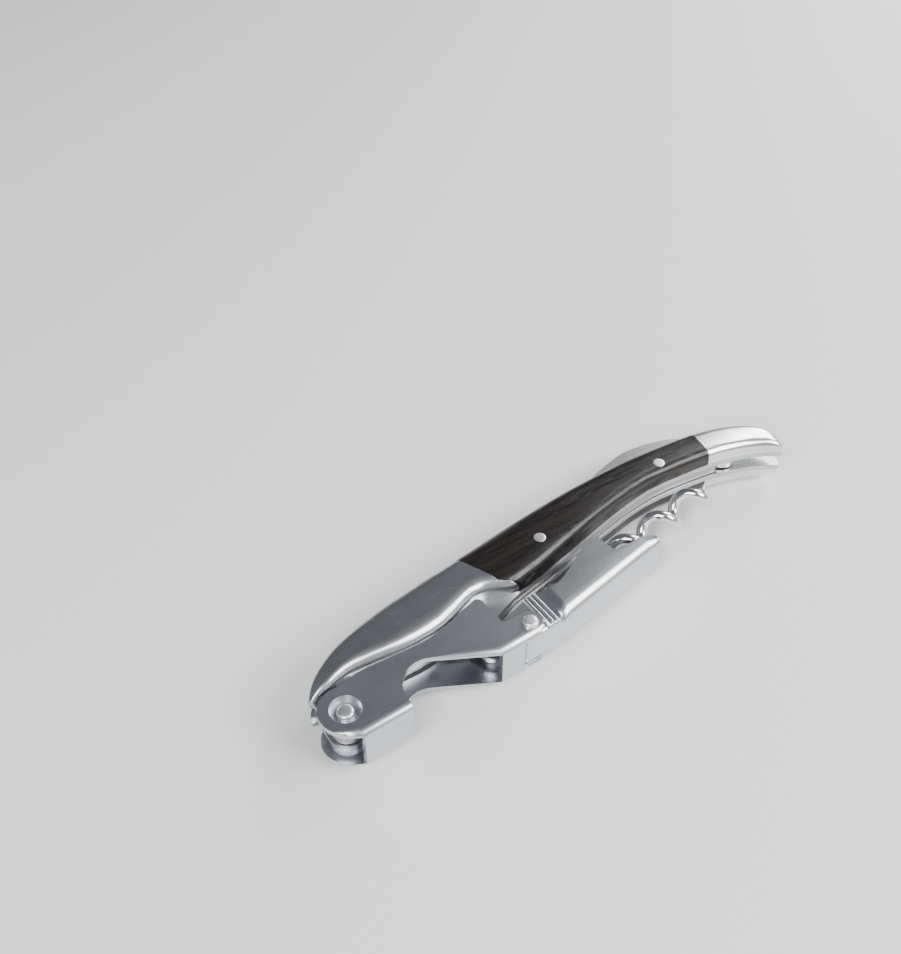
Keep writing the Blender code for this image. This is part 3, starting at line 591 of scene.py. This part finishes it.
bpy.ops.mesh.primitive_cylinder_add(vertices=64, radius=0.001 * EYE_RADIUS,
                                    depth=0.001 * EYE_THICKNESS, location=at(*WORM_PIVOT))
eye = bpy.context.object
bpy.ops.object.transform_apply(location=True, rotation=True, scale=True)
soften_edges(eye, width_mm=0.45, segments=4)
bpy.ops.mesh.primitive_cylinder_add(vertices=48, radius=0.001 * BORE_RADIUS,
                                    depth=0.001 * BORE_LENGTH, location=at(*WORM_PIVOT))
bore = bpy.context.object
bpy.ops.object.select_all(action="DESELECT")
bpy.context.view_layer.objects.active = worm
worm.select_set(True)
for other, operation in ((eye, "UNION"), (bore, "DIFFERENCE")):
    joined = worm.modifiers.new(operation, "BOOLEAN")
    joined.object = other
    joined.operation = operation
    joined.solver = "EXACT"
    bpy.ops.object.modifier_apply(modifier=joined.name)
    bpy.data.objects.remove(other, do_unlink=True)
bpy.ops.object.shade_smooth_by_angle(angle=math.radians(40.0))
worm.data.materials.clear()
worm.data.materials.append(worm_steel)
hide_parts("worm")
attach(worm, "worm")


def headed_rivet(name, centre, shaft, head, seat, crown, node, body):
    """A rivet across the tool: a shaft with a domed, peened head from each seat outwards."""
    bpy.ops.object.select_all(action="DESELECT")
    bpy.ops.mesh.primitive_cylinder_add(vertices=56, radius=0.001 * shaft, depth=0.002 * seat,
                                        location=at(*centre))
    rivet = bpy.context.object
    rivet.name = name
    bpy.ops.object.transform_apply(location=True, rotation=True, scale=True)
    bpy.ops.object.mode_set(mode="EDIT")
    steps = ((0.0, head / shaft), (0.45, 1.0), (0.30, 0.92), (0.17, 0.84), (0.06, 0.74),
             (0.02, 0.5))
    for up in (1, -1):
        for rise, swell in steps:
            select_caps(rivet, up)
            bpy.ops.mesh.extrude_region_move(
                TRANSFORM_OT_translate={"value": (0, 0, up * 0.001 * crown * rise)})
            bpy.ops.transform.resize(value=(swell, swell, 1.0))
    bpy.ops.object.mode_set(mode="OBJECT")
    bpy.ops.object.shade_smooth_by_angle(angle=math.radians(ROUND_BELOW))
    rivet.data.materials.append(pin_steel)
    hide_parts(node)
    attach(rivet, body)


headed_rivet("worm_pivot_riveted", WORM_PIVOT, shaft=1.15, head=2.0, seat=2.9, crown=0.9,
             node="worm_pivot_pin", body="handle")

# ------------------------------------------------------------------ lever, first stage
# The first stage is pressed from one steel sheet folded into a channel: dished round the
# pivot so that it bears on the liners, open behind the heel as a bottle opener, and folded
# again at the toe where the second stage nests. Its bends are polished by the press.

LEVER_PIVOT = (4.8, -6.9)

lever_steel = steel("lever_steel", colour=(0.60, 0.62, 0.66), rough=0.29,
                    grain=(260.0, 3400.0, 2800.0), grain_depth=0.000002, variation=0.02)
first_stage = solid_from_node("lever_first_stage", "lever_first_stage_channel", "lever")
soften_edges(first_stage, width_mm=0.2, segments=2)
first_stage.data.materials.clear()
first_stage.data.materials.append(lever_steel)
headed_rivet("lever_pivot_riveted", LEVER_PIVOT, shaft=1.3, head=1.9, seat=4.45, crown=1.15,
             node="lever_pivot_rivet", body="handle")

# ------------------------------------------------------------------ lever, second stage
# The second stage is rolled from thinner sheet: flat ears inside the first stage, three
# pressed pleats that stiffen the neck, and the flared gutter that steps on the bottle's lip.

STAGE_HINGE = (49.5, -10.6)
PLEATS = 3
PLEATS_START = 52.9
PLEAT_WIDTH = 1.2
PLEAT_HEIGHT = 0.4
ROUND_HEIGHT = 0.26
CUTS_PER_PLEAT = 12
CUTS_BEFORE = 2
FIRST_LEAD = 0.25
NEXT_LEAD = 0.05
TOP_FROM = 0.25
TOP_TO = 0.65
TOP_FALL = 0.30
CHEEKS_FROM = 1.0

stage_steel = steel("stage_steel", colour=(0.66, 0.68, 0.71), rough=0.25,
                    grain=(220.0, 3800.0, 3000.0), grain_depth=0.000003, variation=0.025)
second_stage = solid_from_node("lever_second_stage", "lever_second_stage_gutter", "extension")


def flat_topped(share, phase):
    """Height, from 0 to 1, of the frame's straight-sided pleats at a share of a pleat's width."""
    lead = NEXT_LEAD if share > 1.0 else FIRST_LEAD
    if share < 0.0:
        return max(0.0, (share + lead) / (TOP_FROM + lead))
    if phase < TOP_FROM:
        return (phase + lead) / (TOP_FROM + lead)
    return min(1.0, max(0.0, 1.0 - (phase - TOP_TO) / TOP_FALL))


for cut in range(-CUTS_BEFORE, PLEATS * CUTS_PER_PLEAT + 1):
    choose(second_stage, lambda place: True)
    bpy.ops.mesh.bisect(plane_co=at(PLEATS_START + cut * PLEAT_WIDTH / CUTS_PER_PLEAT, 0.0),
                        plane_no=(1.0, 0.0, 0.0), threshold=0.0000001)
    bpy.ops.object.mode_set(mode="OBJECT")
for vertex in second_stage.data.vertices:
    share = (1000.0 * (vertex.co.x - NOSE_X) - PLEATS_START) / PLEAT_WIDTH
    across = 1000.0 * (vertex.co.z - MIDDLE_Z)
    if -FIRST_LEAD < share < PLEATS and abs(across) > CHEEKS_FROM:
        phase = share - math.floor(share)
        flat = PLEAT_HEIGHT * flat_topped(share, phase)
        swell = 0.0
        if share >= 0.0:
            swell = ROUND_HEIGHT * (0.5 - 0.5 * math.cos(2.0 * math.pi * phase))
        vertex.co.z += math.copysign(0.001 * (swell - flat), across)
soften_edges(second_stage, width_mm=0.14, segments=2, sharp_above=52.0)
second_stage.data.materials.clear()
second_stage.data.materials.append(stage_steel)
headed_rivet("lever_hinge_riveted", STAGE_HINGE, shaft=1.2, head=1.75, seat=6.05, crown=1.05,
             node="lever_hinge_rivet", body="lever")

# ------------------------------------------------------------------ foil knife
# The foil knife is a short blade of thin hard steel that folds into the back of the handle.
# Its flanks are ground lengthwise, its edge is cut in small teeth and ground thin, and its
# spine stands proud of the handle so that a thumbnail can open it.

GRIND_MIDDLE = 100.0
GRIND_TOP = 15.9
GRIND_HEEL = 114.8
GRIND_TILT = 0.03
GRIND_MARGIN = 0.3
EDGE_SHARE = 0.16

# The blade's steel is coloured much lighter than the other steels: partly its own bright steel,
# partly a painted highlight for the light its spine catches.
blade_steel = steel("blade_steel", colour=(0.90, 0.90, 0.90), rough=0.24,
                    grain=(260.0, 3600.0, 3000.0), grain_depth=0.000002, variation=0.02)
knife = solid_from_node("foil_knife", "foil_knife_blade", "knife")
grind_line = at(GRIND_MIDDLE, GRIND_TOP)
grind_heel = at(GRIND_HEEL, GRIND_TOP)
for through, facing in ((grind_line, (GRIND_TILT, 1.0, 0.0)), (grind_heel, (1.0, 0.0, 0.0))):
    choose(knife, lambda place: True)
    bpy.ops.mesh.bisect(plane_co=through, plane_no=facing, threshold=0.0000001)
    bpy.ops.object.mode_set(mode="OBJECT")
choose(knife, lambda place: place.x < grind_heel.x - 0.00001 and place.y - grind_line.y
       < -GRIND_TILT * (place.x - grind_line.x) - 0.001 * GRIND_MARGIN)
bpy.ops.transform.resize(value=(1.0, 1.0, EDGE_SHARE), center_override=(0.0, 0.0, MIDDLE_Z))
bpy.ops.object.mode_set(mode="OBJECT")
soften_edges(knife, width_mm=0.12, segments=2, smooth_below=14.0)
knife.data.materials.clear()
knife.data.materials.append(blade_steel)
